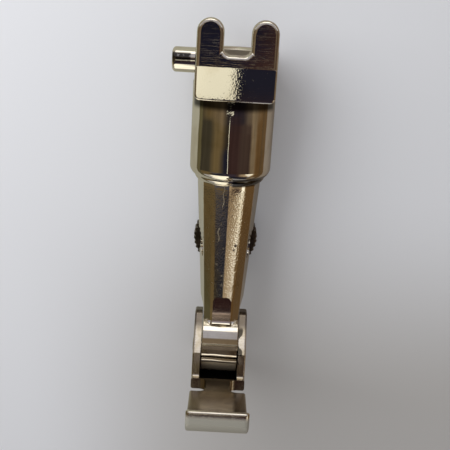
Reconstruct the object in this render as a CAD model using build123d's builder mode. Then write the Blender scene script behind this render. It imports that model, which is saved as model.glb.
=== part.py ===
from build123d import *
import os
from math import acos, atan, cos, degrees, radians, sin

# Sewing machine presser foot with a narrow hinged sole, in millimetres. The socket axis is +Z, the
# origin is the centre of the socket's rim, the toe points to -Y and the clamp pin to -X.

# Column and presser-bar socket
COLUMN_DIAMETER = 9.5
COLUMN_LENGTH = 13.35
SHOULDER_DIAMETER = 8.6
SHOULDER_LENGTH = 0.95
RING_DIAMETER = 8.3
RING_END_DIAMETER = 7.4
RING_LENGTH = 0.75
SOCKET_DIAMETER = 5.6
SOCKET_DEPTH = 10.5
SOCKET_POINT = 1.2
SOCKET_LEAD_IN = 0.3
RIM_ROUND = 0.2

# Forked head: flat pad below, two prongs on a face that leans back above it
HEAD_WIDTH = 8.8
HEAD_FRONT = 4.95
PAD_EDGE_ROUND = 0.25
PRONG_EDGE_ROUND = 0.45
HEAD_CORNER_ROUND = 0.6
PAD_TOP = 1.7
PAD_BOTTOM = 5.35
PRONG_HEIGHT = 3.3
PRONG_THICKNESS = 2.5
PRONG_LEAN = 7.0
PRONG_BACK_ROUND = 0.3
FORK_GAP = 2.95
FORK_DROP = 0.5
FORK_CORNER_ROUND = 0.75

# Clamp pin on a flat land at the left of the column, with a spigot pressed into the wall
PIN_DIAMETER = 2.8
PIN_DROP = 1.5
PIN_LENGTH = 2.6
PIN_END_ROUND = 0.45
PIN_LAND_DIAMETER = 4.6
PIN_LAND_DEPTH = 0.15
SPIGOT_DIAMETER = 1.8
SPIGOT_LENGTH = 1.2

# Arm: flat back, drafted sides, and a cheek and a bevel on each side of the front ridge. It tapers
# from the shoulder down to the level of the hinge pin.
ARM_TOP_WIDTH = 8.1
ARM_TOP_FRONT = 4.0
CHEEK_TOP_WIDTH = 6.2
BEVEL_TOP_WIDTH = 3.6
ARM_END_WIDTH = 4.8
ARM_END_FRONT = 2.4
CHEEK_END_WIDTH = 3.9
BEVEL_END_WIDTH = 2.1
BEVEL_FALL = 0.6
CHEEK_FALL = 1.1
RIDGE_ROUND = 0.1
BEVEL_ROUND = 1.5
ARM_EDGE_ROUND = 0.2

# Guide-rod hole across the arm and the screw that clamps the rod
SCREW_DROP = 23.8
GUIDE_HOLE_DIAMETER = 2.2
GUIDE_HOLE_FRONT = 0.1
SCREW_DIAMETER = 3.0
SCREW_CLEARANCE = 0.05
SCREW_TIP_GAP = 0.2
SCREW_SEAT_GAP = 0.3
COLLAR_DIAMETER = 5.2
COLLAR_LENGTH = 0.6
KNURL_DIAMETER = 8.1
KNURL_LENGTH = 2.2
KNURL_TEETH = 40
KNURL_DEPTH = 0.28
KNURL_CHAMFER = 0.3

# Hinge: knuckle at the end of the arm's tongue, pin through it and both ears of the sole
PIVOT_FRONT = 0.3
PIVOT_DROP = 37.1
KNUCKLE_DIAMETER = 6.2
KNUCKLE_RISE = 1.0
KNUCKLE_EDGE_ROUND = 0.12
TONGUE_DROP = 31.2
TONGUE_WIDTH = 4.5
TONGUE_STEP_ROUND = 0.5
SCOOP_WIDTH = 2.25
SCOOP_LENGTH = 3.3
SCOOP_TOP_ROUND = 0.8
SCOOP_LEAN = 8.0
SCOOP_RUN_OUT = 0.2
WAIST_FRONT = 1.4
WAIST_ROUND = 0.8
HINGE_PIN_DIAMETER = 1.8
HINGE_CLEARANCE = 0.04
HINGE_PIN_STAND = 0.1
EAR_CLEARANCE = 0.1

# Sole, in its own tilted frame: lengths forward and back of the pivot, heights from the pivot
SOLE_TILT = 8.6
SOLE_WIDTH = 6.6
PLATE_DROP = 2.78
PLATE_THICKNESS = 1.3
SOLE_EDGE_ROUND = 0.25
HEEL_LENGTH = 8.8
HEEL_ROUND = 1.4
TOE_START = 14.7
TOE_LENGTH = 3.2
TOE_RISE = 1.9
TOE_ROUND = 0.5
EAR_FRONT = 3.75
EAR_BACK = 3.9
EAR_STEP_BACK = 0.25
EAR_STEP_HEIGHT = 0.15
EAR_TOP_HEIGHT = 4.6
EAR_TOP_FRONT = 0.2
EAR_TOP_BACK = 2.2
EAR_TOP_ROUND = 1.0
EAR_FOOT_ROUND = 0.3
POCKET_FRONT = 4.3
POCKET_DEPTH = 0.55
NEEDLE_NOTCH_START = 4.5
NEEDLE_NOTCH_LENGTH = 3.75
NEEDLE_NOTCH_DEPTH = 1.87
NEEDLE_NOTCH_ROUND = 0.9

column_radius = COLUMN_DIAMETER / 2
socket_radius = SOCKET_DIAMETER / 2
pivot = (0, -PIVOT_FRONT, -PIVOT_DROP)
pivot_axis = Axis(pivot, (1, 0, 0))
knuckle_radius = KNUCKLE_DIAMETER / 2
arm_back = knuckle_radius - PIVOT_FRONT
guide_hole_radius = GUIDE_HOLE_DIAMETER / 2
pin_land_plane = Plane.YZ.offset(PIN_LAND_DEPTH - column_radius)
clear_height = PRONG_HEIGHT + PAD_TOP
ear_inner = TONGUE_WIDTH / 2 + EAR_CLEARANCE
ear_thickness = SOLE_WIDTH / 2 - ear_inner
plate_top = -PLATE_DROP
plate_bottom = plate_top - PLATE_THICKNESS


def arm_section(drop, front, bevel_width, cheek_width, width):
    """Cross-section of the arm at one level below the rim."""
    side = [
        (bevel_width / 2, BEVEL_FALL - front),
        (cheek_width / 2, BEVEL_FALL + CHEEK_FALL - front),
        (width / 2, arm_back),
    ]
    other_side = [(-x, y) for x, y in reversed(side)]
    with BuildSketch(Plane.XY.offset(-drop)) as section:
        with BuildLine():
            Polyline((0, -front), *side, *other_side, close=True)
        make_face()
    return section.sketch


def long_edges(part):
    """Edges along the whole arm, in order from the ridge at the front to the back."""
    arm_length = PIVOT_DROP - COLUMN_LENGTH
    return part.edges().filter_by(lambda edge: edge.length >= arm_length).sort_by(Axis.Y)


# Shank: arm first, so that its long edges can be rounded before the column joins it
arm_top = arm_section(COLUMN_LENGTH, ARM_TOP_FRONT, BEVEL_TOP_WIDTH, CHEEK_TOP_WIDTH, ARM_TOP_WIDTH)
arm_bottom = arm_section(PIVOT_DROP, ARM_END_FRONT, BEVEL_END_WIDTH, CHEEK_END_WIDTH, ARM_END_WIDTH)
knuckle_top = (0, -PIVOT_FRONT, KNUCKLE_RISE - PIVOT_DROP)
waist_reach = knuckle_radius + WAIST_ROUND
waist_turn = acos((WAIST_FRONT + WAIST_ROUND - PIVOT_FRONT) / waist_reach)
waist_centre = (-WAIST_FRONT - WAIST_ROUND, knuckle_top[2] + waist_reach * sin(waist_turn))

with BuildPart() as shank:
    loft(sections=[arm_top, arm_bottom])
    fillet(long_edges(shank)[1:3], BEVEL_ROUND)
    fillet(long_edges(shank)[:1], RIDGE_ROUND)
    fillet(long_edges(shank)[-4:], ARM_EDGE_ROUND)

    # Tongue: the arm's sides cut back to pass between the ears
    with BuildSketch(Plane.XZ) as sides:
        with GridLocations(TONGUE_WIDTH + ARM_TOP_WIDTH, 1, 2, 1):
            with Locations((0, -TONGUE_DROP)):
                Rectangle(ARM_TOP_WIDTH, PIVOT_DROP, align=(Align.CENTER, Align.MAX))
        fillet(sides.vertices().group_by(Axis.Y)[-1], TONGUE_STEP_ROUND)
    extrude(amount=ARM_TOP_WIDTH, both=True, mode=Mode.SUBTRACT)

    # Waist across the tongue, which runs out onto the knuckle in a hollow round
    with BuildSketch(Plane.YZ):
        with BuildLine():
            hollow = CenterArc(
                waist_centre, WAIST_ROUND, -SCOOP_LEAN, SCOOP_LEAN - degrees(waist_turn)
            )
            scoop_foot = hollow @ 0
            Polyline(
                hollow @ 1,
                ((hollow @ 1).X, knuckle_top[2]),
                (-ARM_TOP_FRONT, knuckle_top[2]),
                (-ARM_TOP_FRONT, scoop_foot.Y),
                scoop_foot,
            )
        make_face()
    extrude(amount=ARM_TOP_WIDTH, both=True, mode=Mode.SUBTRACT)

    # Scoop milled flat into the arm's front above the waist, with a round-cornered top
    scoop_lean = radians(SCOOP_LEAN)
    scoop_plane = Plane(
        origin=(0, scoop_foot.X, scoop_foot.Y),
        x_dir=(1, 0, 0),
        z_dir=(0, -cos(scoop_lean), sin(scoop_lean)),
    )
    with BuildSketch(scoop_plane) as scoop:
        with Locations((0, -SCOOP_RUN_OUT)):
            Rectangle(SCOOP_WIDTH, SCOOP_RUN_OUT + SCOOP_LENGTH, align=(Align.CENTER, Align.MIN))
        fillet(scoop.vertices().group_by(Axis.Y)[-1], SCOOP_TOP_ROUND)
    extrude(amount=ARM_TOP_FRONT, mode=Mode.SUBTRACT)

    # Long knuckle, round at both ends, with the bore for the hinge pin
    with BuildSketch(Plane.XY.offset(-PIVOT_DROP)) as knuckle:
        with Locations((0, -PIVOT_FRONT)):
            Rectangle(TONGUE_WIDTH, knuckle_radius, align=(Align.CENTER, Align.MAX))
        fillet(knuckle.vertices().group_by(Axis.Y)[0], KNUCKLE_EDGE_ROUND)
    extrude(amount=KNUCKLE_RISE)
    revolve(knuckle.sketch, axis=pivot_axis)
    revolve(Pos(0, 0, KNUCKLE_RISE) * knuckle.sketch, axis=Axis(knuckle_top, (1, 0, 0)))
    with BuildSketch(Plane.YZ):
        with Locations((-PIVOT_FRONT, -PIVOT_DROP)):
            Circle(HINGE_PIN_DIAMETER / 2 + HINGE_CLEARANCE)
    extrude(amount=TONGUE_WIDTH, both=True, mode=Mode.SUBTRACT)

    # Column with its rounded rim, rounded shoulder and the ring below it
    shoulder_end = -COLUMN_LENGTH - SHOULDER_LENGTH
    ring_end = shoulder_end - RING_LENGTH
    with BuildSketch(Plane.XZ) as column:
        with BuildLine():
            rim_and_wall = Polyline((0, 0), (column_radius, 0), (column_radius, -COLUMN_LENGTH))
            shoulder = TangentArc(rim_and_wall @ 1, (SHOULDER_DIAMETER / 2, shoulder_end), tangent=(0, -1))
            step = Line(shoulder @ 1, (RING_DIAMETER / 2, shoulder_end))
            ring = TangentArc(step @ 1, (RING_END_DIAMETER / 2, ring_end), tangent=(0, -1))
            Polyline(ring @ 1, (0, ring_end), (0, 0))
        make_face()
        fillet(column.vertices().group_by(Axis.Y)[-1].sort_by(Axis.X)[-1], RIM_ROUND)
    revolve(axis=Axis.Z)

    # Squared head up to the rim, then the two prongs with full-round tips
    with BuildSketch(Plane.XZ) as head:
        Rectangle(HEAD_WIDTH, PAD_BOTTOM, align=(Align.CENTER, Align.MAX))
        fillet(head.vertices().group_by(Axis.Y)[0], HEAD_CORNER_ROUND)
    extrude(amount=HEAD_FRONT)
    prong_width = (HEAD_WIDTH - FORK_GAP) / 2
    prong_straight = PRONG_HEIGHT - prong_width / 2
    with BuildSketch(Plane.XZ.offset(HEAD_FRONT - PRONG_THICKNESS)):
        with GridLocations(FORK_GAP + prong_width, 1, 2, 1):
            with Locations((0, prong_straight / 2)):
                Rectangle(prong_width, prong_straight)
            with Locations((0, prong_straight)):
                Circle(prong_width / 2)
    extrude(amount=PRONG_THICKNESS)
    prong_backs = shank.faces(Select.LAST).filter_by(Plane.XZ).sort_by(Axis.Y)[-2:]
    back_edges = prong_backs.edges().filter_by_position(Axis.Z, 0, PRONG_HEIGHT, (False, True))
    fillet(back_edges, PRONG_BACK_ROUND)

    # Leaning face of the prongs
    lean = radians(PRONG_LEAN)
    lean_plane = Plane(
        origin=(0, -HEAD_FRONT, -PAD_TOP), x_dir=(1, 0, 0), z_dir=(0, -cos(lean), sin(lean))
    )
    with BuildSketch(lean_plane):
        Rectangle(HEAD_WIDTH, PAD_TOP + clear_height, align=(Align.CENTER, Align.MIN))
    extrude(amount=PRONG_THICKNESS, mode=Mode.SUBTRACT)

    # Gap of the fork, cut a little below the rim
    with BuildSketch(Plane.XZ) as fork_gap:
        with Locations((0, -FORK_DROP)):
            Rectangle(FORK_GAP, FORK_DROP + clear_height, align=(Align.CENTER, Align.MIN))
        fillet(fork_gap.vertices().group_by(Axis.Y)[0], FORK_CORNER_ROUND)
    extrude(amount=HEAD_FRONT, mode=Mode.SUBTRACT)

    # Socket with a lead-in and a drilled end, open upwards between the prongs
    with BuildSketch(Plane.XZ):
        with BuildLine():
            Polyline(
                (0, clear_height),
                (socket_radius + SOCKET_LEAD_IN, clear_height),
                (socket_radius + SOCKET_LEAD_IN, 0),
                (socket_radius, -SOCKET_LEAD_IN),
                (socket_radius, -SOCKET_DEPTH),
                (0, -SOCKET_DEPTH - SOCKET_POINT),
                close=True,
            )
        make_face()
    revolve(axis=Axis.Z, mode=Mode.SUBTRACT)

    # Rounded edges of the pad and the prongs' faces, all but the crease between the two
    pad_edges = shank.faces().filter_by(Plane.XZ).sort_by(Axis.Y)[0].edges()
    lean_edges = shank.faces().filter_by(lean_plane).edges()
    crease = [edge for edge in pad_edges if edge in lean_edges]
    fillet([edge for edge in lean_edges if edge not in crease], PRONG_EDGE_ROUND)
    pad_edges = shank.faces().filter_by(Plane.XZ).sort_by(Axis.Y)[0].edges()
    fillet(pad_edges.group_by(Axis.Z)[0], PAD_EDGE_ROUND)

    # Land and seat of the clamp pin
    with BuildSketch(pin_land_plane):
        with Locations((0, -PIN_DROP)):
            Circle(PIN_LAND_DIAMETER / 2)
    extrude(amount=-PIN_LENGTH, mode=Mode.SUBTRACT)
    with BuildSketch(pin_land_plane):
        with Locations((0, -PIN_DROP)):
            Circle(SPIGOT_DIAMETER / 2)
    extrude(amount=SPIGOT_LENGTH, mode=Mode.SUBTRACT)

    # Guide-rod hole across the arm, and the screw hole that meets it from the back
    with BuildSketch(Plane.YZ):
        with Locations((-GUIDE_HOLE_FRONT, -SCREW_DROP)):
            Circle(guide_hole_radius)
    extrude(amount=ARM_TOP_WIDTH, both=True, mode=Mode.SUBTRACT)
    with BuildSketch(Plane.XZ.offset(GUIDE_HOLE_FRONT)):
        with Locations((0, -SCREW_DROP)):
            Circle(SCREW_DIAMETER / 2 + SCREW_CLEARANCE)
    extrude(amount=-(GUIDE_HOLE_FRONT + arm_back), mode=Mode.SUBTRACT)

shank.part.label = "shank"


with BuildPart() as clamp_pin:
    with BuildSketch(pin_land_plane):
        with Locations((0, -PIN_DROP)):
            Circle(PIN_DIAMETER / 2)
    extrude(amount=-PIN_LENGTH)
    fillet(clamp_pin.faces().sort_by(Axis.X)[0].edges(), PIN_END_ROUND)
    with BuildSketch(pin_land_plane):
        with Locations((0, -PIN_DROP)):
            Circle(SPIGOT_DIAMETER / 2)
    extrude(amount=SPIGOT_LENGTH)

clamp_pin.part.label = "clamp_pin"


# Thumb screw: turned profile, then the knurl cut round its head
tip_back = guide_hole_radius - GUIDE_HOLE_FRONT + SCREW_TIP_GAP
collar_front = arm_back + SCREW_SEAT_GAP
head_front = collar_front + COLLAR_LENGTH
head_back = head_front + KNURL_LENGTH
knurl_radius = KNURL_DIAMETER / 2
screw_axis = Axis((0, 0, -SCREW_DROP), (0, 1, 0))

with BuildPart() as thumb_screw:
    with BuildSketch(Plane.XY.offset(-SCREW_DROP)):
        with BuildLine():
            Polyline(
                (0, tip_back),
                (SCREW_DIAMETER / 2, tip_back),
                (SCREW_DIAMETER / 2, collar_front),
                (COLLAR_DIAMETER / 2, collar_front),
                (COLLAR_DIAMETER / 2, head_front),
                (knurl_radius - KNURL_CHAMFER, head_front),
                (knurl_radius, head_front + KNURL_CHAMFER),
                (knurl_radius, head_back - KNURL_CHAMFER),
                (knurl_radius - KNURL_CHAMFER, head_back),
                (0, head_back),
                close=True,
            )
        make_face()
    revolve(axis=screw_axis)
    with BuildSketch(Plane(origin=(0, head_front, -SCREW_DROP), x_dir=(1, 0, 0), z_dir=(0, 1, 0))):
        with PolarLocations(knurl_radius, KNURL_TEETH):
            RegularPolygon(KNURL_DEPTH, side_count=4)
    extrude(amount=KNURL_LENGTH, mode=Mode.SUBTRACT)

thumb_screw.part.label = "thumb_screw"


# Sole, on planes through the pivot that are tilted toe up
tilt = radians(SOLE_TILT)
sole_side = Plane(origin=pivot, x_dir=(0, cos(tilt), -sin(tilt)), z_dir=(1, 0, 0))
sole_top = Plane(origin=pivot, x_dir=(1, 0, 0), z_dir=(0, sin(tilt), cos(tilt)))
toe_turn = 2 * atan(TOE_RISE / TOE_LENGTH)
toe_tip = (-TOE_START - TOE_LENGTH, plate_top + TOE_RISE)
toe_under = (
    toe_tip[0] - PLATE_THICKNESS * sin(toe_turn),
    toe_tip[1] - PLATE_THICKNESS * cos(toe_turn),
)
toe_lip = (
    (toe_tip[0] + toe_under[0] - PLATE_THICKNESS * cos(toe_turn)) / 2,
    (toe_tip[1] + toe_under[1] + PLATE_THICKNESS * sin(toe_turn)) / 2,
)

with BuildPart() as sole:
    # Plate with its up-turned toe, rounded in plan at toe and heel
    with BuildSketch(sole_side):
        with BuildLine():
            top_line = Line((HEEL_LENGTH, plate_top), (-TOE_START, plate_top))
            TangentArc(top_line @ 1, toe_tip, tangent=(-1, 0))
            ThreePointArc(toe_tip, toe_lip, toe_under)
            bottom_line = Line((-TOE_START, plate_bottom), (HEEL_LENGTH, plate_bottom))
            TangentArc(bottom_line @ 0, toe_under, tangent=(-1, 0))
            Line(bottom_line @ 1, top_line @ 0)
        make_face()
    extrude(amount=SOLE_WIDTH / 2, both=True)
    with BuildSketch(sole_top.offset(plate_bottom)) as outline:
        with Locations((0, toe_lip[0])):
            Rectangle(SOLE_WIDTH, HEEL_LENGTH - toe_lip[0], align=(Align.CENTER, Align.MIN))
        fillet(outline.vertices().group_by(Axis.Y)[0], TOE_ROUND)
        fillet(outline.vertices().group_by(Axis.Y)[-1], HEEL_ROUND)
    extrude(amount=EAR_TOP_HEIGHT - plate_bottom, mode=Mode.INTERSECT)

    # Ears, each with a rounded foot at its front
    with BuildSketch(sole_side.offset(ear_inner)) as ear:
        with BuildLine():
            Polyline(
                (-NEEDLE_NOTCH_START, plate_bottom),
                (-NEEDLE_NOTCH_START, plate_top),
                (-EAR_FRONT, plate_top),
                (-EAR_FRONT, EAR_STEP_HEIGHT),
                (EAR_STEP_BACK - EAR_FRONT, EAR_STEP_HEIGHT),
                (-EAR_TOP_FRONT, EAR_TOP_HEIGHT),
                (EAR_TOP_BACK, EAR_TOP_HEIGHT),
                (EAR_BACK, plate_top),
                (EAR_BACK, plate_bottom),
                close=True,
            )
        make_face()
        fillet(ear.vertices().group_by(Axis.Y)[-1], EAR_TOP_ROUND)
        fillet(ear.vertices().sort_by_distance((-EAR_FRONT, plate_top))[0], EAR_FOOT_ROUND)
    extrude(amount=ear_thickness)
    mirror(about=Plane.YZ)

    # Pocket under the knuckle
    with BuildSketch(sole_top.offset(plate_top)):
        with Locations((0, (EAR_BACK - POCKET_FRONT) / 2)):
            Rectangle(2 * ear_inner, EAR_BACK + POCKET_FRONT)
    extrude(amount=-POCKET_DEPTH, mode=Mode.SUBTRACT)

    # Needle notches
    with BuildSketch(sole_top.offset(plate_bottom)) as notches:
        with GridLocations(SOLE_WIDTH, 1, 2, 1):
            with Locations((0, -NEEDLE_NOTCH_START - NEEDLE_NOTCH_LENGTH / 2)):
                Rectangle(2 * NEEDLE_NOTCH_DEPTH, NEEDLE_NOTCH_LENGTH)
        fillet(notches.vertices(), NEEDLE_NOTCH_ROUND)
    extrude(amount=PLATE_THICKNESS, mode=Mode.SUBTRACT)

    # Soft edges along both sides of the ears and the plate
    upright = Axis(pivot, sole_top.z_dir)
    for end in (0, -1):
        side_edges = sole.faces().group_by(Axis.X)[end].edges()
        fillet(side_edges.filter_by(upright, reverse=True), SOLE_EDGE_ROUND)

    # Holes in the ears for the hinge pin
    with BuildSketch(sole_side):
        Circle(HINGE_PIN_DIAMETER / 2)
    extrude(amount=SOLE_WIDTH, both=True, mode=Mode.SUBTRACT)

sole.part.label = "sole"


with BuildPart() as hinge_pin:
    with BuildSketch(Plane(origin=pivot, z_dir=(1, 0, 0))):
        Circle(HINGE_PIN_DIAMETER / 2)
    extrude(amount=SOLE_WIDTH / 2 + HINGE_PIN_STAND, both=True)
    chamfer(hinge_pin.edges().filter_by(GeomType.CIRCLE), HINGE_PIN_STAND)

hinge_pin.part.label = "hinge_pin"


os.makedirs("parts", exist_ok=True)
for piece in (shank, clamp_pin, thumb_screw, sole, hinge_pin):
    export_step(piece.part, f"parts/{piece.part.label}.step")
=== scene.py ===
from math import radians

import bpy
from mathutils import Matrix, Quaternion, Vector

# Sewing machine presser foot in worn nickel plate, lying on its back on pale paper. Lengths are in
# metres in the part's own frame: the socket's axis is +Z and the toe points to -Y.

MM = 0.001

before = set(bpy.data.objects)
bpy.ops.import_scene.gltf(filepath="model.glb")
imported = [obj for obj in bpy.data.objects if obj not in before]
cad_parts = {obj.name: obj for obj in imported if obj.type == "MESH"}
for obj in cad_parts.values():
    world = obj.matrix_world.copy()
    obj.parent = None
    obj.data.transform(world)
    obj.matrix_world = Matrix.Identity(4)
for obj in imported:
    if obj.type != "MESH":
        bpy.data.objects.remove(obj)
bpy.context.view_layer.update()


# Nodes that the finishes and the light are built from

def add_node(tree, kind, inputs=None, **settings):
    """Adds a node with its settings, and sets or links each of its named inputs."""
    node = tree.nodes.new(kind)
    for name, value in settings.items():
        setattr(node, name, value)
    for name, value in (inputs or {}).items():
        if isinstance(value, bpy.types.NodeSocket):
            tree.links.new(value, node.inputs[name])
        else:
            node.inputs[name].default_value = value
    return node


def calculate(tree, operation, *values):
    """Result of a Math node on sockets or numbers."""
    node = add_node(tree, "ShaderNodeMath", dict(enumerate(values)), operation=operation)
    return node.outputs[0]


def product(tree, *values):
    """All values multiplied."""
    result = values[0]
    for value in values[1:]:
        result = calculate(tree, "MULTIPLY", result, value)
    return result


def total(tree, *values):
    """All values added."""
    result = values[0]
    for value in values[1:]:
        result = calculate(tree, "ADD", result, value)
    return result


def capped(tree, value):
    """A value kept from passing 1."""
    return calculate(tree, "MINIMUM", value, 1.0)


def step(tree, value, none, full):
    """Smooth step of a value: 0 at the first number, 1 at the second, which may be the lower one."""
    node = add_node(
        tree,
        "ShaderNodeMapRange",
        {"Value": value, "From Min": none, "From Max": full},
        interpolation_type="SMOOTHSTEP",
    )
    return node.outputs["Result"]


def between(tree, value, low, high, fade):
    """1 from low to high, falling smoothly to 0 within the fade outside of them."""
    return product(tree, step(tree, value, low - fade, low), step(tree, value, high + fade, high))


def remap(tree, value, low, high):
    """A 0 to 1 value stretched to run from low to high."""
    node = add_node(tree, "ShaderNodeMapRange", {"Value": value, "To Min": low, "To Max": high})
    return node.outputs["Result"]


def blend(tree, factor, first, second):
    """Mix of two colours."""
    node = add_node(tree, "ShaderNodeMix", {0: factor, 6: first, 7: second}, data_type="RGBA")
    return node.outputs[2]


def ramp(tree, factor, stops):
    """Colour ramp with (position, colour) stops."""
    node = add_node(tree, "ShaderNodeValToRGB", {"Fac": factor})
    elements = node.color_ramp.elements
    while len(elements) < len(stops):
        elements.new(0.5)
    for element, (position, colour) in zip(elements, stops):
        element.position = position
        element.color = (*colour, 1.0)
    return node.outputs["Color"]


def where(tree):
    """X, Y and Z of the shaded point in the part's frame."""
    place = tree.nodes.new("ShaderNodeTexCoord").outputs["Object"]
    return add_node(tree, "ShaderNodeSeparateXYZ", {"Vector": place}).outputs


def distance(tree, *steps):
    """Length of a way from its parts along the axes."""
    squares = [product(tree, one, one) for one in steps]
    return calculate(tree, "SQRT", total(tree, *squares))


def near(tree, axes, place, size):
    """1 at a place, falling smoothly to 0 at the given distance from it."""
    steps = [calculate(tree, "SUBTRACT", axes[name], at) for name, at in zip("XYZ", place)]
    return step(tree, distance(tree, *steps), size, 0.0)


# Surface effects that the finishes share

def new_group(name, inputs, outputs):
    """Shader node group with number inputs and outputs; returns it with its two end nodes."""
    group = bpy.data.node_groups.new(name, "ShaderNodeTree")
    for socket, value in inputs:
        made = group.interface.new_socket(socket, in_out="INPUT", socket_type="NodeSocketFloat")
        made.default_value = value
    for socket in outputs:
        group.interface.new_socket(socket, in_out="OUTPUT", socket_type="NodeSocketFloat")
    start = group.nodes.new("NodeGroupInput")
    end = group.nodes.new("NodeGroupOutput")
    return group, start, end


def make_cast_surface():
    """Pebbled and gently wavy skin of plating over a casting, as heights from 0 to 1."""
    group, start, end = new_group(
        "Cast Surface", [("Pebble Scale", 5000.0), ("Wave Scale", 300.0)], ["Pebble", "Wave"]
    )
    place = group.nodes.new("ShaderNodeTexCoord").outputs["Object"]
    pebble = add_node(
        group,
        "ShaderNodeTexVoronoi",
        {"Vector": place, "Scale": start.outputs["Pebble Scale"], "Smoothness": 0.6},
        feature="SMOOTH_F1",
    )
    grain = add_node(
        group,
        "ShaderNodeTexNoise",
        {"Vector": place, "Scale": start.outputs["Pebble Scale"], "Detail": 3.0},
    )
    wave = add_node(
        group,
        "ShaderNodeTexNoise",
        {"Vector": place, "Scale": start.outputs["Wave Scale"], "Detail": 1.5},
    )
    mixed = calculate(group, "ADD", pebble.outputs["Distance"], grain.outputs["Fac"])
    group.links.new(calculate(group, "MULTIPLY", mixed, 0.5), end.inputs["Pebble"])
    group.links.new(wave.outputs["Fac"], end.inputs["Wave"])
    return group


def make_tarnish():
    """Blotchy stain and finer specks left by handling, as masks from 0 to 1."""
    group, start, end = new_group("Tarnish", [("Blotch Scale", 500.0)], ["Stain", "Specks"])
    place = group.nodes.new("ShaderNodeTexCoord").outputs["Object"]
    blotch = add_node(
        group,
        "ShaderNodeTexNoise",
        {"Vector": place, "Scale": start.outputs["Blotch Scale"], "Detail": 5.0, "Distortion": 0.4},
    )
    speck = add_node(group, "ShaderNodeTexNoise", {"Vector": place, "Scale": 2600.0, "Detail": 4.0})
    group.links.new(step(group, blotch.outputs["Fac"], 0.42, 0.68), end.inputs["Stain"])
    group.links.new(step(group, speck.outputs["Fac"], 0.6, 0.72), end.inputs["Specks"])
    return group


def make_brush_marks():
    """Fine parallel scratches, across the foot and along it, as heights from 0 to 1."""
    group, start, end = new_group("Brush Marks", [("Fineness", 9000.0)], ["Across", "Along"])
    place = group.nodes.new("ShaderNodeTexCoord").outputs["Object"]
    for name, stretch in (("Across", (0.04, 1.0, 1.0)), ("Along", (1.0, 0.03, 0.03))):
        stretched = add_node(group, "ShaderNodeMapping", {"Vector": place, "Scale": stretch})
        lines = add_node(
            group,
            "ShaderNodeTexNoise",
            {
                "Vector": stretched.outputs["Vector"],
                "Scale": start.outputs["Fineness"],
                "Detail": 2.0,
            },
        )
        group.links.new(lines.outputs["Fac"], end.inputs[name])
    return group


cast_surface = make_cast_surface()
tarnish = make_tarnish()
brush_marks = make_brush_marks()


# Colours of the plate, from bright to stained and browned, with dark ones that are partly painted shade,
# and the near black of painted shade, painted dark reflection and the pits

NICKEL = (0.74, 0.70, 0.62, 1.0)
NICKEL_STAIN = (0.50, 0.42, 0.29, 1.0)
WORN_NICKEL = (0.58, 0.53, 0.46, 1.0)
# Brown plate: painted shade on the sole's front plate, and the colour of the knuckle's foot
BROWN_NICKEL_AND_SHADE = (0.36, 0.30, 0.22, 1.0)
RUBBED_NICKEL = (0.40, 0.385, 0.33, 1.0)
# Dark plate: painted shade and painted dark reflection on the sole, and the screw's dark plate, partly
# painted shade
DARK_NICKEL_AND_SHADE = (0.10, 0.08, 0.065, 1.0)
SCOOP_STAIN = (0.46, 0.37, 0.33, 1.0)
SCREW_STAIN_AND_SHADE = (0.05, 0.04, 0.03, 1.0)
# Near black: painted shade in corners and hollows, painted dark reflection, and the fill of the arm's
# pits
SHADE_AND_GRIME = (0.006, 0.005, 0.004, 1.0)


def new_material(name, metallic=1.0):
    """Empty material, of metal or not; returns it with its tree and shader."""
    material = bpy.data.materials.new(name)
    material.use_nodes = True
    tree = material.node_tree
    shader = tree.nodes["Principled BSDF"]
    shader.inputs["Metallic"].default_value = metallic
    return material, tree, shader


def use_group(tree, group, **inputs):
    """Places a shared effect with this material's own values."""
    named = {name.replace("_", " ").title(): value for name, value in inputs.items()}
    return add_node(tree, "ShaderNodeGroup", named, node_tree=group).outputs


def finish_normal(tree, shader, height, strength, depth):
    """Feeds a height through a Bump node into the shader's normal."""
    bump = add_node(
        tree, "ShaderNodeBump", {"Height": height, "Strength": strength, "Distance": depth}
    )
    tree.links.new(bump.outputs["Normal"], shader.inputs["Normal"])


# Finish of the shank and the clamp pin

# Borders of areas: (where the area begins, where it is full)
FRONT_Y = (-1.0 * MM, -2.0 * MM)
FRONT_HALF_Y = (0.0, -0.4 * MM)
PRONGS_Z = (-1.75 * MM, -1.65 * MM)
SOCKET_RADIUS = (2.95 * MM, 2.85 * MM)
SOCKET_MOUTH_Z = (0.1 * MM, 0.0)
SOCKET_END_Z = (-12.0 * MM, -11.8 * MM)
BELOW_HEAD_Z = (-6.0 * MM, -8.0 * MM)
BELOW_RING_Z = (-15.0 * MM, -16.2 * MM)
ABOVE_SCOOP_Z = (-31.5 * MM, -30.0 * MM)
SCOOP_X = (1.16 * MM, 1.10 * MM)
SCOOP_Y = (-1.7 * MM, -1.5 * MM)
TONGUE_Z = (-32.4 * MM, -33.0 * MM)
KNUCKLE_Z = (-35.2 * MM, -36.2 * MM)
KNUCKLE_FOOT_Z = (-37.4 * MM, -38.0 * MM)
# Borders of painted shade in the ring's groove and under the pad, and of the painted dark reflection
# across the pin's front
GROOVE_SHADE_X = (0.1 * MM, 0.5 * MM)
PAD_SHADE_TOP_Z = (-5.3 * MM, -5.4 * MM)
PAD_SHADE_END_Z = (-6.7 * MM, -6.0 * MM)
PIN_REFLECTION_TOP_Z = (-0.55 * MM, -0.75 * MM)
PIN_REFLECTION_END_Z = (-2.1 * MM, -1.2 * MM)
# Areas with two borders: (low, high, fade beyond both)
PAD_Z = (-5.2 * MM, -1.75 * MM, 0.1 * MM)
SCOOP_Z = (-33.2 * MM, -28.8 * MM, 0.4 * MM)
GROOVE_Z = (-15.0 * MM, -14.1 * MM, 0.3 * MM)
PIN_X = (-7.4 * MM, -5.2 * MM, 0.2 * MM)

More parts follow.
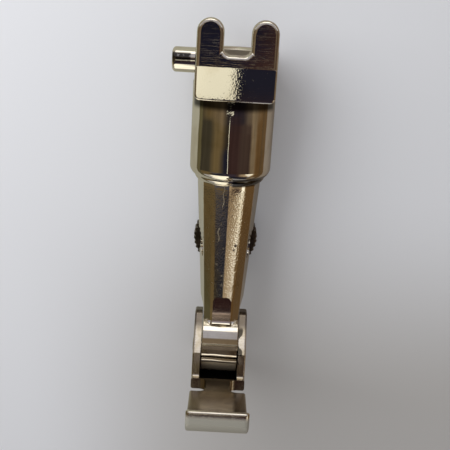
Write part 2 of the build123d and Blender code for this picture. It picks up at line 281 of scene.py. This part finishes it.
# Casting pits on the right of the arm's front: (place, size)
ARM_PITS = [
    (Vector((1.17, -2.92, -22.45)) * MM, 0.2 * MM),
    (Vector((1.0, -2.94, -23.0)) * MM, 0.15 * MM),
    (Vector((0.85, -3.1, -20.0)) * MM, 0.13 * MM),
    (Vector((0.83, -3.08, -20.5)) * MM, 0.13 * MM),
]
# Scratches down the left of the arm's front: (X, top, bottom). They sway like a sine of Z, at a rate
# in radians per metre.
ARM_SCRATCHES = [(-0.55 * MM, -15.3 * MM, -17.5 * MM), (-0.9 * MM, -20.4 * MM, -21.8 * MM)]
SCRATCH_WIDTH = 0.07 * MM
SCRATCH_SWAY = 0.08 * MM
SCRATCH_SWAY_RATE = 4000.0
SCRATCH_FADE = 0.3 * MM
# Width of the arm's two front facets at the rim's level, and how it grows with Z
FACET_WIDTH = 2.22 * MM
FACET_TAPER = 0.0316
# Low ridges that the cutter left across the knuckle's front: (height, half width)
KNUCKLE_RIDGES = [(-36.75 * MM, 0.3 * MM), (-37.5 * MM, 0.22 * MM)]
RIDGE_SWAY = 0.4 * MM
# Real depth of a height of 1 in the plate
PLATE_RELIEF = 0.1 * MM


def shank_areas(tree, axes):
    """Masks of the shank's areas that differ in finish."""
    front = step(tree, axes["Y"], *FRONT_Y)
    front_half = step(tree, axes["Y"], *FRONT_HALF_Y)
    above_scoop = step(tree, axes["Z"], *ABOVE_SCOOP_Z)
    below_head = step(tree, axes["Z"], *BELOW_HEAD_Z)
    socket = product(
        tree,
        step(tree, distance(tree, axes["X"], axes["Y"]), *SOCKET_RADIUS),
        step(tree, axes["Z"], *SOCKET_MOUTH_Z),
        step(tree, axes["Z"], *SOCKET_END_Z),
    )
    scoop = product(
        tree,
        step(tree, calculate(tree, "ABSOLUTE", axes["X"]), *SCOOP_X),
        step(tree, axes["Y"], *SCOOP_Y),
        between(tree, axes["Z"], *SCOOP_Z),
        front_half,
    )
    return {
        "front": front,
        "front half": front_half,
        "prongs": product(tree, step(tree, axes["Z"], *PRONGS_Z), front),
        "pad": product(tree, between(tree, axes["Z"], *PAD_Z), front),
        "socket": socket,
        "below head": below_head,
        "column and arm": product(tree, below_head, above_scoop),
        "arm": product(tree, step(tree, axes["Z"], *BELOW_RING_Z), above_scoop, front),
        "scoop": scoop,
        "tongue": step(tree, axes["Z"], *TONGUE_Z),
        "knuckle": product(tree, step(tree, axes["Z"], *KNUCKLE_Z), front),
        "knuckle foot": product(tree, step(tree, axes["Z"], *KNUCKLE_FOOT_Z), front),
    }


def scratch(tree, axes, place, top, bottom):
    """Wavy scratch that runs down the foot."""
    wave = calculate(tree, "SINE", calculate(tree, "MULTIPLY", axes["Z"], SCRATCH_SWAY_RATE))
    line = calculate(tree, "MULTIPLY_ADD", wave, SCRATCH_SWAY, place)
    aside = calculate(tree, "ABSOLUTE", calculate(tree, "SUBTRACT", axes["X"], line))
    return product(
        tree,
        step(tree, aside, SCRATCH_WIDTH, 0.3 * SCRATCH_WIDTH),
        between(tree, axes["Z"], bottom, top, SCRATCH_FADE),
    )


def ridge(tree, level, height, half_width):
    """1 along a ridge across the foot, falling to 0 at both its sides."""
    aside = calculate(tree, "ABSOLUTE", calculate(tree, "SUBTRACT", level, height))
    return step(tree, aside, half_width, 0.0)


def facet_crown(tree, axes):
    """Roundness that polishing left across the arm's front facets: 0 at their edges, 1 between them."""
    width = calculate(tree, "MULTIPLY_ADD", axes["Z"], FACET_TAPER, FACET_WIDTH)
    across = capped(tree, calculate(tree, "DIVIDE", calculate(tree, "ABSOLUTE", axes["X"]), width))
    return product(tree, 4.0, across, calculate(tree, "SUBTRACT", 1.0, across))


def shank_colour(tree, areas, skin, stains):
    """Bright plate, stained in blotches, over the arm's pebbles and in the scoop; darker and browner on
    the knuckle's lower front, most at its foot.
    """
    stain = total(
        tree,
        product(tree, stains["Stain"], 0.35),
        product(tree, skin["Pebble"], areas["arm"], 0.5),
        product(tree, areas["knuckle"], 0.6),
    )
    colour = blend(tree, capped(tree, stain), NICKEL, NICKEL_STAIN)
    colour = blend(tree, areas["knuckle foot"], colour, BROWN_NICKEL_AND_SHADE)
    return blend(tree, areas["scoop"], colour, SCOOP_STAIN)


def shank_shade_and_pits(tree, axes, areas, stains, pitted):
    """Painted shade in the ring's groove and in the corner under the pad, a painted dark reflection
    across the pin's front, broken by specks, and near black in the pits.
    """
    # Painted shade on the right of the ring's groove
    groove = product(
        tree,
        between(tree, axes["Z"], *GROOVE_Z),
        step(tree, axes["X"], *GROOVE_SHADE_X),
        areas["front"],
    )
    # Painted shade in the corner under the pad
    under_pad = product(
        tree,
        step(tree, axes["Z"], *PAD_SHADE_TOP_Z),
        step(tree, axes["Z"], *PAD_SHADE_END_Z),
        areas["front"],
    )
    # Painted dark reflection across the pin's front, broken by specks
    pin_front = product(
        tree,
        between(tree, axes["X"], *PIN_X),
        step(tree, axes["Z"], *PIN_REFLECTION_TOP_Z),
        step(tree, axes["Z"], *PIN_REFLECTION_END_Z),
        areas["front half"],
    )
    shade_and_pits = total(
        tree,
        pitted,
        product(tree, groove, 0.9),
        product(tree, under_pad, 0.9),
        product(tree, pin_front, remap(tree, stains["Specks"], 0.9, 0.4)),
    )
    return capped(tree, shade_and_pits)


def shank_roughness(tree, axes, areas, stains, fine_marks):
    """Polish of the plate, duller where it is stained, brushed, scratched or worn."""
    scratches = [scratch(tree, axes, *one) for one in ARM_SCRATCHES]
    brushed = step(tree, fine_marks["Across"], 0.46, 0.66)
    return total(
        tree,
        0.015,
        product(tree, stains["Stain"], areas["below head"], 0.04),
        product(tree, areas["arm"], 0.08),
        product(tree, stains["Specks"], areas["arm"], 0.16),
        product(tree, stains["Specks"], areas["pad"], 0.08),
        product(tree, brushed, areas["prongs"], 0.2),
        product(tree, total(tree, *scratches), areas["front"], 0.4),
        product(tree, areas["scoop"], 0.05),
        product(tree, areas["tongue"], 0.07),
        product(tree, areas["knuckle"], 0.08),
        product(tree, areas["knuckle foot"], 0.3),
        product(tree, areas["socket"], 0.5),
    )


def shank_relief(tree, axes, areas, skin, fine_marks, pitted):
    """Heights of the plate: its waves and pebbles, the facets' crown, marks, pits and ridges."""
    marks = use_group(tree, brush_marks)
    wavy_level = calculate(tree, "MULTIPLY_ADD", skin["Wave"], RIDGE_SWAY, axes["Z"])
    ridges = [ridge(tree, wavy_level, *one) for one in KNUCKLE_RIDGES]
    waviness = total(tree, 0.05, product(tree, areas["column and arm"], 0.4))
    pebbling = total(
        tree, 0.004, product(tree, areas["arm"], 0.22), product(tree, areas["pad"], 0.012)
    )
    return total(
        tree,
        product(tree, skin["Wave"], waviness),
        product(tree, skin["Pebble"], pebbling),
        product(tree, facet_crown(tree, axes), areas["arm"], 0.3),
        product(tree, fine_marks["Across"], areas["prongs"], 0.05),
        product(tree, marks["Along"], areas["tongue"], 0.08),
        product(tree, pitted, -0.8),
        product(tree, total(tree, *ridges), areas["front"], 2.4),
    )


def plated_nickel():
    """Bright nickel plate over the cast shank: brushed prongs, pebbled arm, polished elsewhere."""
    material, tree, shader = new_material("Plated Nickel")
    axes = where(tree)
    areas = shank_areas(tree, axes)
    skin = use_group(tree, cast_surface)
    stains = use_group(tree, tarnish, blotch_scale=320.0)
    fine_marks = use_group(tree, brush_marks, fineness=15000.0)
    pits = [near(tree, axes, place, size) for place, size in ARM_PITS]
    pitted = capped(tree, total(tree, *pits))
    colour = shank_colour(tree, areas, skin, stains)
    shade_and_pits = shank_shade_and_pits(tree, axes, areas, stains, pitted)
    roughness = shank_roughness(tree, axes, areas, stains, fine_marks)
    # Painted shade and painted dark reflection in near black, which also fills the pits
    tree.links.new(blend(tree, shade_and_pits, colour, SHADE_AND_GRIME), shader.inputs["Base Color"])
    tree.links.new(remap(tree, areas["knuckle foot"], 1.0, 0.5), shader.inputs["Metallic"])
    tree.links.new(roughness, shader.inputs["Roughness"])
    relief = shank_relief(tree, axes, areas, skin, fine_marks, pitted)
    finish_normal(tree, shader, relief, 1.0, PLATE_RELIEF)
    return material


# Finish of the sole and the hinge pin

# Borders of areas: (where the area begins, where it is full)
POCKET_X = (2.42 * MM, 2.3 * MM)
POCKET_FRONT_Y = (-4.2 * MM, -3.9 * MM)
POCKET_BACK_Y = (2.5 * MM, 0.8 * MM)
POCKET_Z = (-38.6 * MM, -39.6 * MM)
EAR_TOP_Z = (-34.6 * MM, -33.6 * MM)
PLATE_Y = (-4.4 * MM, -5.2 * MM)
TOE_Y = (-17.2 * MM, -17.9 * MM)
TOE_FRONT_Z = (-35.2 * MM, -35.8 * MM)
# Areas with two borders: (low, high, fade beyond both)
NECK_Y = (-8.4 * MM, -6.0 * MM, 0.8 * MM)
BEND_Y = (-17.0 * MM, -14.5 * MM, 2.0 * MM)
EDGE_REFLECTIONS_Z = (-37.4 * MM, -34.2 * MM, 0.4 * MM)
# Painted dark reflections, as of dents, along the right ear's inner edge: how far out they run at least
# and at most, and their border
EDGE_REFLECTION_REACH = (2.3 * MM, 2.85 * MM)
EDGE_REFLECTION_BORDER = (0.06 * MM, -0.06 * MM)
# Real depth of a height of 1 in the brush marks
SATIN_RELIEF = 0.01 * MM


def ear_edge_reflections(tree, axes, stain, plate):
    """Painted dark reflections, shaped like dents, along the inner edge of the right ear."""
    past_reach = calculate(tree, "SUBTRACT", axes["X"], remap(tree, stain, *EDGE_REFLECTION_REACH))
    return product(
        tree,
        step(tree, past_reach, *EDGE_REFLECTION_BORDER),
        calculate(tree, "GREATER_THAN", axes["X"], 0.0),
        between(tree, axes["Z"], *EDGE_REFLECTIONS_Z),
        calculate(tree, "SUBTRACT", 1.0, plate),
    )


def satin_nickel():
    """Worn plate of the sole, with painted shade on its front plate, across its neck and at the toe's
    bend, near-black painted shade in the pocket under the knuckle, painted dark reflection on the ears'
    tops and along the right ear's inner edge, and the toe's front rubbed matt by cloth."""
    material, tree, shader = new_material("Satin Nickel")
    stains = use_group(tree, tarnish, blotch_scale=600.0)
    marks = use_group(tree, brush_marks, fineness=7000.0)
    axes = where(tree)
    pocket = product(
        tree,
        step(tree, calculate(tree, "ABSOLUTE", axes["X"]), *POCKET_X),
        step(tree, axes["Y"], *POCKET_FRONT_Y),
        step(tree, axes["Y"], *POCKET_BACK_Y),
        step(tree, axes["Z"], *POCKET_Z),
    )
    ear_top = step(tree, axes["Z"], *EAR_TOP_Z)
    plate = step(tree, axes["Y"], *PLATE_Y)
    shaded = total(tree, between(tree, axes["Y"], *NECK_Y), between(tree, axes["Y"], *BEND_Y))
    toe = step(tree, axes["Y"], *TOE_Y)
    rubbed = product(tree, toe, step(tree, axes["Z"], *TOE_FRONT_Z))
    edge_reflections = ear_edge_reflections(tree, axes, stains["Stain"], plate)

    colour = blend(tree, product(tree, stains["Stain"], 0.7), WORN_NICKEL, NICKEL_STAIN)
    # Painted shade of the shank, darker and browner, on the sole's front plate
    colour = blend(tree, plate, colour, BROWN_NICKEL_AND_SHADE)
    # Painted shade across the neck and at the toe's bend
    colour = blend(tree, product(tree, shaded, 0.6), colour, DARK_NICKEL_AND_SHADE)
    colour = blend(tree, toe, colour, NICKEL)
    colour = blend(tree, rubbed, colour, RUBBED_NICKEL)
    # Painted dark reflection on the ears' tops
    colour = blend(tree, product(tree, ear_top, 0.85), colour, DARK_NICKEL_AND_SHADE)
    # Painted dark reflections along the right ear's inner edge
    colour = blend(tree, product(tree, edge_reflections, 0.85), colour, SHADE_AND_GRIME)
    roughness = total(tree, remap(tree, stains["Stain"], 0.17, 0.26), pocket, product(tree, rubbed, 0.3))
    # Near-black painted shade in the pocket under the knuckle
    tree.links.new(blend(tree, pocket, colour, SHADE_AND_GRIME), shader.inputs["Base Color"])
    tree.links.new(remap(tree, rubbed, 1.0, 0.3), shader.inputs["Metallic"])
    tree.links.new(capped(tree, roughness), shader.inputs["Roughness"])
    finish_normal(tree, shader, marks["Across"], 0.3, SATIN_RELIEF)
    return material


# Finish of the knurled screw

SCREW_HEIGHT = -23.8 * MM
TOOTH_TIPS = (3.9 * MM, 4.05 * MM)


def dull_nickel():
    """Plate of the knurled screw, darkened partly by its own tarnish and partly as painted shade, rubbed
    bright here and there on the teeth.
    """
    material, tree, shader = new_material("Dull Nickel")
    stains = use_group(tree, tarnish, blotch_scale=900.0)
    axes = where(tree)
    rise = calculate(tree, "SUBTRACT", axes["Z"], SCREW_HEIGHT)
    tips = step(tree, distance(tree, axes["X"], rise), *TOOTH_TIPS)
    colour = blend(tree, stains["Stain"], DARK_NICKEL_AND_SHADE, SCREW_STAIN_AND_SHADE)
    rubbed = product(tree, tips, remap(tree, stains["Specks"], 0.15, 0.9))
    tree.links.new(blend(tree, rubbed, colour, WORN_NICKEL), shader.inputs["Base Color"])
    tree.links.new(remap(tree, stains["Stain"], 0.3, 0.45), shader.inputs["Roughness"])
    return material


def dress(node, material):
    """Gives a CAD node its finish."""
    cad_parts[node].data.materials[0] = material


plated = plated_nickel()
satin = satin_nickel()
dull = dull_nickel()
dress("shank", plated)
dress("clamp_pin", plated)
dress("sole", satin)
dress("hinge_pin", satin)
dress("thumb_screw", dull)


# Paper that the foot lies on: it touches the column's back and the end of the heel

PAPER_SIZE = 0.9
PAPER_TOUCH = Vector((0.0, 4.78, 0.0)) * MM
PAPER_TILT = radians(4.6)
PAPER_COLOUR = (0.80, 0.80, 0.82, 1.0)
PAPER_SHADE = (0.52, 0.50, 0.48, 1.0)
# Borders of the painted shade, down the sheet and across it
SHADE_DOWN = (-16.0 * MM, -50.0 * MM)
SHADE_ACROSS = (-30.0 * MM, 4.0 * MM)
# Painted reflection, the colours that the metal mirrors: the sheet at both its sides, darker at the
# right as painted shade, and past its edges the table
MIRRORED_LEFT = (0.52, 0.50, 0.40, 1.0)
MIRRORED_RIGHT = (0.42, 0.36, 0.30, 1.0)
TABLE_LEFT = (0.13, 0.11, 0.05, 1.0)
TABLE_RIGHT = (0.20, 0.12, 0.05, 1.0)
SHEET_EDGE = (27.0 * MM, 34.0 * MM)


def show_front_only(tree, shader):
    """Makes a sheet clear when it is seen from behind."""
    behind = tree.nodes.new("ShaderNodeNewGeometry").outputs["Backfacing"]
    clear = tree.nodes.new("ShaderNodeBsdfTransparent").outputs["BSDF"]
    mixed = add_node(tree, "ShaderNodeMixShader", {0: behind, 1: shader.outputs["BSDF"], 2: clear})
    tree.links.new(mixed.outputs["Shader"], tree.nodes["Material Output"].inputs["Surface"])


def paper_material():
    """Matt pale paper, with painted shade towards its lower right. It is seen from its front only, so
    that the foot's back can be looked at. The metal mirrors painted colours: the sheet darker, at its
    right as painted shade, and the dark table past the sheet's edges."""
    material, tree, shader = new_material("Paper", metallic=0.0)
    axes = where(tree)
    past_edge = step(tree, calculate(tree, "ABSOLUTE", axes["X"]), *SHEET_EDGE)
    mirrored = tree.nodes.new("ShaderNodeLightPath").outputs["Is Glossy Ray"]
    right = calculate(tree, "GREATER_THAN", axes["X"], 0.0)
    table = blend(tree, right, TABLE_LEFT, TABLE_RIGHT)
    sheet = blend(tree, right, MIRRORED_LEFT, MIRRORED_RIGHT)
    # Painted shade towards the lower right of the sheet
    shaded = product(tree, step(tree, axes["Y"], *SHADE_DOWN), step(tree, axes["X"], *SHADE_ACROSS))
    seen = blend(tree, shaded, PAPER_COLOUR, PAPER_SHADE)
    # Painted reflection: the metal sees the darker sheet and the table in place of the paper's own
    # colour
    colour = blend(tree, mirrored, seen, blend(tree, past_edge, sheet, table))
    tree.links.new(colour, shader.inputs["Base Color"])
    shader.inputs["Roughness"].default_value = 0.9
    shader.inputs["Specular IOR Level"].default_value = 0.1
    show_front_only(tree, shader)
    return material


bpy.ops.object.select_all(action="DESELECT")
bpy.ops.mesh.primitive_plane_add(
    size=PAPER_SIZE, location=PAPER_TOUCH, rotation=(radians(90) + PAPER_TILT, 0, 0)
)
paper = bpy.context.object
paper.name = "paper"
paper.data.materials.append(paper_material())


# Dark board over the lens, seen only in the metal: it darkens the prongs' leaning face

BOARD_PLACE = Vector((2.0, -87.5, 21.6)) * MM
BOARD_LEAN = radians(32)
BOARD_SIZE = (44.0 * MM, 66.0 * MM, 1.0)
BOARD_COLOUR = (0.012, 0.012, 0.024, 1.0)
BOARD_WARM = (0.06, 0.028, 0.02, 1.0)
# Borders of the warm part, in shares of the board's size from its middle
WARM_RIGHT_X = (0.1, 0.21)
WARM_CORNER_X = (-0.05, 0.09)
WARM_CORNER_Y = (0.25, 0.39)


def board_material():
    """Near-black board, warmer at its right side and towards its near right corner. It is seen from
    above only, so that the waist and the toe mirror the room past it."""
    material, tree, shader = new_material("Dark Board", metallic=0.0)
    axes = where(tree)
    right = step(tree, axes["X"], *WARM_RIGHT_X)
    corner = product(tree, step(tree, axes["Y"], *WARM_CORNER_Y), step(tree, axes["X"], *WARM_CORNER_X))
    warm = calculate(tree, "MAXIMUM", right, corner)
    colour = blend(tree, warm, BOARD_COLOUR, BOARD_WARM)
    tree.links.new(colour, shader.inputs["Emission Color"])
    shader.inputs["Emission Strength"].default_value = 1.0
    shader.inputs["Base Color"].default_value = (0.0, 0.0, 0.0, 1.0)
    shader.inputs["Specular IOR Level"].default_value = 0.0
    show_front_only(tree, shader)
    return material


bpy.ops.mesh.primitive_plane_add(size=1.0, location=BOARD_PLACE, rotation=(-BOARD_LEAN, 0, 0))
board = bpy.context.object
board.name = "dark_board"
board.scale = BOARD_SIZE
board.data.materials.append(board_material())
board.visible_camera = False
board.visible_diffuse = False
board.visible_shadow = False


# Soft room light. Every row is a ring of colours round the foot at one height; angles are in degrees
# from the front (-Y), positive to the right.

PALE = (0.62, 0.61, 0.63)
WHITE = (1.0, 0.96, 0.88)
BRIGHT = (1.5, 1.42, 1.2)
OVERHEAD = (1.9, 1.85, 1.75)
CREAM = (1.0, 0.96, 0.78)
GREY = (0.45, 0.44, 0.43)
LAVENDER = (0.46, 0.45, 0.50)
PINK_GREY = (0.48, 0.44, 0.44)
OLIVE = (0.055, 0.046, 0.03)
GOLD = (0.155, 0.11, 0.05)
BROWN = (0.20, 0.15, 0.10)
UMBER = (0.045, 0.034, 0.02)
SLATE = (0.10, 0.092, 0.10)
STEEL_BLUE = (0.045, 0.047, 0.07)
BLACK = (0.014, 0.014, 0.021)
NAVY = (0.016, 0.016, 0.028)
PURPLE = (0.045, 0.035, 0.05)
MAROON = (0.045, 0.024, 0.022)
RUSSET = (0.065, 0.042, 0.034)
BEIGE = (0.22, 0.165, 0.105)
TAN = (0.14, 0.08, 0.033)
PINK_GOLD = (0.44, 0.33, 0.21)
HONEY = (0.30, 0.20, 0.09)

# (upper edge of the row in degrees above the horizon, its ring of colours)
ROOM_ROWS = [
    (-62.0, [(-180, PALE), (-60, BRIGHT), (-6, BRIGHT), (6, PALE), (180, PALE)]),
    (
        -40.0,
        [
            (-180, PALE), (-75, GREY), (-62, BRIGHT), (-6, BRIGHT), (-2, NAVY), (60, NAVY),
            (78, BEIGE), (180, PALE),
        ],
    ),
    (
        -28.5,
        [
            (-180, PALE), (-110, GREY), (-102, GOLD), (-70, GOLD), (-58, UMBER), (-46, BLACK),
            (-22, BLACK), (-14, PURPLE), (14, PURPLE), (24, RUSSET), (44, PINK_GOLD),
            (55, PINK_GOLD), (61, WHITE), (68, HONEY), (80, TAN), (102, TAN), (112, PINK_GREY),
            (180, PALE),
        ],
    ),
    (
        -25.0,
        [
            (-180, PALE), (-108, GREY), (-98, GOLD), (-66, GOLD), (-53, UMBER), (-42, STEEL_BLUE),
            (-32, BLACK), (-22, BLACK), (-14, PURPLE), (14, PURPLE), (24, RUSSET), (38, PINK_GOLD),
            (48, PINK_GOLD), (52, WHITE), (62, WHITE), (70, HONEY), (78, TAN), (98, TAN),
            (110, PINK_GREY), (180, PALE),
        ],
    ),
    (
        -19.0,
        [
            (-180, PALE), (-106, GREY), (-96, GOLD), (-64, GOLD), (-50, SLATE), (-42, SLATE),
            (-33, STEEL_BLUE), (-22, STEEL_BLUE), (-14, PURPLE), (14, PURPLE), (24, RUSSET),
            (35, PINK_GOLD), (43, PINK_GOLD), (47, BRIGHT), (66, BRIGHT), (74, HONEY), (80, TAN),
            (98, TAN), (110, PINK_GREY), (180, PALE),
        ],
    ),
    (
        -11.5,
        [
            (-180, PALE), (-112, GREY), (-106, OLIVE), (-62, OLIVE), (-46, GOLD), (-36, GOLD),
            (-18, NAVY), (-8, NAVY), (-6, MAROON), (18, MAROON), (28, RUSSET), (52, RUSSET),
            (60, BEIGE), (68, BEIGE), (76, TAN), (98, TAN), (104, PINK_GREY), (180, PALE),
        ],
    ),
    (
        -8.2,
        [
            (-180, PALE), (-114, GREY), (-108, OLIVE), (-62, OLIVE), (-42, GOLD), (-30, GOLD),
            (-14, UMBER), (-8, UMBER), (-6, MAROON), (18, MAROON), (28, RUSSET), (52, RUSSET),
            (60, BEIGE), (68, BEIGE), (76, TAN), (98, TAN), (104, PINK_GREY), (180, PALE),
        ],
    ),
    (
        0.0,
        [
            (-180, PALE), (-114, GREY), (-106, OLIVE), (-70, GOLD), (-30, BROWN), (-12, NAVY),
            (28, NAVY), (56, BEIGE), (96, TAN), (104, PINK_GREY), (180, PALE),
        ],
    ),
    (
        26.0,
        [
            (-180, PALE), (-114, GREY), (-80, GOLD), (-40, BROWN), (14, BROWN), (60, RUSSET),
            (80, TAN), (104, PINK_GREY), (180, PALE),
        ],
    ),
    (62.0, [(-180, WHITE), (-100, WHITE), (-60, LAVENDER), (60, LAVENDER), (100, WHITE), (180, WHITE)]),
    (90.0, [(-180, OVERHEAD), (180, OVERHEAD)]),
]
ROW_FADE = 2.0
# Sharp-edged bright strips: (first and last angle, bottom and top)
BRIGHT_STRIPS = [(-18.0, 0.8, -7.8, 0.5), (-8.4, -7.2, -20.0, -8.2)]
# Darkest and brightest share of light that the room's clutter leaves
CLUTTER_SHADE = (0.6, 1.4)
FILL_LIGHT = (0.42, 0.42, 0.43, 1.0)
BACKGROUND = (0.78, 0.78, 0.80, 1.0)


def ring(tree, around, stops):
    """One ring of colours, from (angle, colour) stops, by the share of a full turn."""
    return ramp(tree, around, [((angle + 180) / 360, shade) for angle, shade in stops])


def light_room():
    """World of soft rings of light, with an even fill for matt surfaces and a pale background."""
    world = bpy.data.worlds.new("Soft Room")
    bpy.context.scene.world = world
    world.use_nodes = True
    tree = world.node_tree
    direction = tree.nodes.new("ShaderNodeTexCoord").outputs["Generated"]
    axes = add_node(tree, "ShaderNodeSeparateXYZ", {"Vector": direction}).outputs
    front = calculate(tree, "MULTIPLY", axes["Y"], -1.0)
    turn = calculate(tree, "DEGREES", calculate(tree, "ARCTAN2", axes["X"], front))
    height = calculate(tree, "DEGREES", calculate(tree, "ARCSINE", axes["Z"]))
    around = calculate(tree, "DIVIDE", calculate(tree, "ADD", turn, 180.0), 360.0)
    rings = [ring(tree, around, stops) for _, stops in ROOM_ROWS]
    colour = rings[0]
    for (edge, _), upper in zip(ROOM_ROWS, rings[1:]):
        colour = blend(tree, step(tree, height, edge - ROW_FADE, edge + ROW_FADE), colour, upper)
    for first, last, bottom, top in BRIGHT_STRIPS:
        beside = calculate(tree, "COMPARE", turn, (first + last) / 2, (last - first) / 2)
        level = calculate(tree, "COMPARE", height, (bottom + top) / 2, (top - bottom) / 2)
        colour = blend(tree, product(tree, beside, level), colour, (*CREAM, 1.0))
    clutter = add_node(
        tree, "ShaderNodeTexNoise", {"Vector": direction, "Scale": 7.0, "Detail": 3.0}
    )
    shade = remap(tree, clutter.outputs["Fac"], *CLUTTER_SHADE)
    colour = add_node(
        tree, "ShaderNodeMix", {0: 1.0, 6: colour, 7: shade}, data_type="RGBA", blend_type="MULTIPLY"
    ).outputs[2]
    rays = tree.nodes.new("ShaderNodeLightPath").outputs
    colour = blend(tree, rays["Is Diffuse Ray"], colour, FILL_LIGHT)
    colour = blend(tree, rays["Is Camera Ray"], colour, BACKGROUND)
    tree.links.new(colour, tree.nodes["Background"].inputs["Color"])


light_room()


# Window: soft light from the upper left, which the metal doesn't mirror

WINDOW_PLACE = Vector((-95.0, -80.0, 65.0)) * MM
WINDOW_TARGET = Vector((0.0, 0.0, -20.0)) * MM
WINDOW_SIZE = 140.0 * MM
WINDOW_POWER = 0.2
WINDOW_COLOUR = (0.96, 0.98, 1.0)


def aim(place, target):
    """Turn that makes a lamp or a camera look from a place to a target."""
    return (target - place).to_track_quat("-Z", "Y")


window_light = bpy.data.lights.new("window", "AREA")
window_light.size = WINDOW_SIZE
window_light.energy = WINDOW_POWER
window_light.color = WINDOW_COLOUR
window = bpy.data.objects.new("window", window_light)
window.location = WINDOW_PLACE
window.rotation_mode = "QUATERNION"
window.rotation_quaternion = aim(WINDOW_PLACE, WINDOW_TARGET)
window.visible_glossy = False
bpy.context.scene.collection.objects.link(window)


# Camera at the photograph's place: from the front and a little above, tipped slightly

CAMERA_PLACE = Vector((-1.03, -78.8, 4.71)) * MM
CAMERA_TARGET = Vector((-0.18, 0.0, -20.87)) * MM
CAMERA_ROLL = radians(3.39)
CAMERA_LENS = 54.4
CAMERA_NEAREST = 1.0 * MM
CAMERA_FARTHEST = 10.0

camera_data = bpy.data.cameras.new("camera")
camera_data.lens = CAMERA_LENS
camera_data.clip_start = CAMERA_NEAREST
camera_data.clip_end = CAMERA_FARTHEST
camera = bpy.data.objects.new("camera", camera_data)
camera.location = CAMERA_PLACE
camera.rotation_mode = "QUATERNION"
camera.rotation_quaternion = aim(CAMERA_PLACE, CAMERA_TARGET) @ Quaternion((0, 0, 1), CAMERA_ROLL)
bpy.context.scene.collection.objects.link(camera)
bpy.context.scene.camera = camera

bpy.context.scene.view_settings.view_transform = "Standard"
